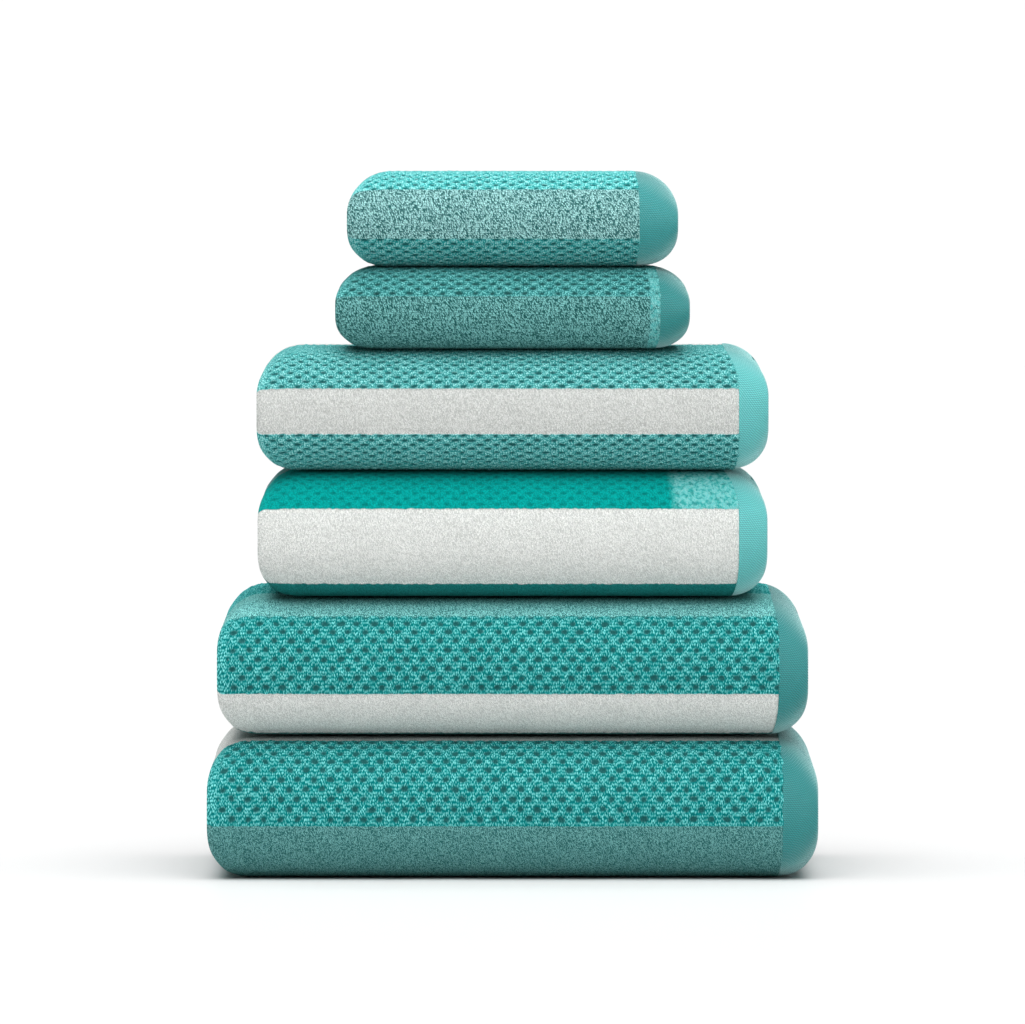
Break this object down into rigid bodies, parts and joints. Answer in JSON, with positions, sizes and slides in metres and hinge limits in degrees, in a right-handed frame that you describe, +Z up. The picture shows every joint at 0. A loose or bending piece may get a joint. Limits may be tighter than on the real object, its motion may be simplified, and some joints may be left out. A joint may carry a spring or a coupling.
{
  "type": "bath towel set",
  "caption": "Stack of folded terry towels in turquoise and white bands, with bath towels at the bottom, hand towels above and washcloths on top.",
  "frame": {"origin": "on the surface that the stack stands on, under the middle of the lowest towel's outline", "axes": "+Z up, the rounded front folds face -Y, and the stacked side hems are at +X"},
  "size_m": [0.3, 0.2134, 0.3467],
  "materials": {
    "bath_terry": "turquoise cotton terry with a raised honeycomb of loops, mixed turquoise and white loops, and white bands",
    "hand_terry": "turquoise cotton terry with a raised honeycomb of loops and wide white bands",
    "wash_terry": "mixed turquoise and white cotton terry with bands of a raised honeycomb of loops",
    "side_hem": "smooth turquoise cotton band, stitched, without pile",
    "end_hem": "smooth turquoise cotton band, stitched, without pile"
  },
  "bodies": {
    "bath_towel_lower": {"bath_towel_lower_terry_cloth": "bath_terry", "bath_towel_lower_side_hem_inner": "side_hem", "bath_towel_lower_side_hem_outer": "side_hem", "bath_towel_lower_end_hem_first": "end_hem", "bath_towel_lower_end_hem_last": "end_hem"},
    "bath_towel_upper": {"bath_towel_upper_terry_cloth": "bath_terry", "bath_towel_upper_side_hem_inner": "side_hem", "bath_towel_upper_side_hem_outer": "side_hem", "bath_towel_upper_end_hem_first": "end_hem", "bath_towel_upper_end_hem_last": "end_hem"},
    "hand_towel_lower": {"hand_towel_lower_terry_cloth": "hand_terry", "hand_towel_lower_side_hem_inner": "side_hem", "hand_towel_lower_side_hem_outer": "side_hem", "hand_towel_lower_end_hem_first": "end_hem", "hand_towel_lower_end_hem_last": "end_hem"},
    "hand_towel_upper": {"hand_towel_upper_terry_cloth": "hand_terry", "hand_towel_upper_side_hem_inner": "side_hem", "hand_towel_upper_side_hem_outer": "side_hem", "hand_towel_upper_end_hem_first": "end_hem", "hand_towel_upper_end_hem_last": "end_hem"},
    "washcloth_lower": {"washcloth_lower_terry_cloth": "wash_terry", "washcloth_lower_side_hem_inner": "side_hem", "washcloth_lower_side_hem_outer": "side_hem", "washcloth_lower_end_hem_first": "end_hem", "washcloth_lower_end_hem_last": "end_hem"},
    "washcloth_upper": {"washcloth_upper_terry_cloth": "wash_terry", "washcloth_upper_side_hem_inner": "side_hem", "washcloth_upper_side_hem_outer": "side_hem", "washcloth_upper_end_hem_first": "end_hem", "washcloth_upper_end_hem_last": "end_hem"}
  },
  "joints": [
    {"name": "lift_bath_towel_upper", "type": "slide", "parent": "bath_towel_lower", "child": "bath_towel_upper", "axis": [0, 0, 1], "range_m": [0, 0.12]},
    {"name": "lift_hand_towel_lower", "type": "slide", "parent": "bath_towel_upper", "child": "hand_towel_lower", "axis": [0, 0, 1], "range_m": [0, 0.12]},
    {"name": "lift_hand_towel_upper", "type": "slide", "parent": "hand_towel_lower", "child": "hand_towel_upper", "axis": [0, 0, 1], "range_m": [0, 0.12]},
    {"name": "lift_washcloth_lower", "type": "slide", "parent": "hand_towel_upper", "child": "washcloth_lower", "axis": [0, 0, 1], "range_m": [0, 0.12]},
    {"name": "lift_washcloth_upper", "type": "slide", "parent": "washcloth_lower", "child": "washcloth_upper", "axis": [0, 0, 1], "range_m": [0, 0.12]}
  ]
}
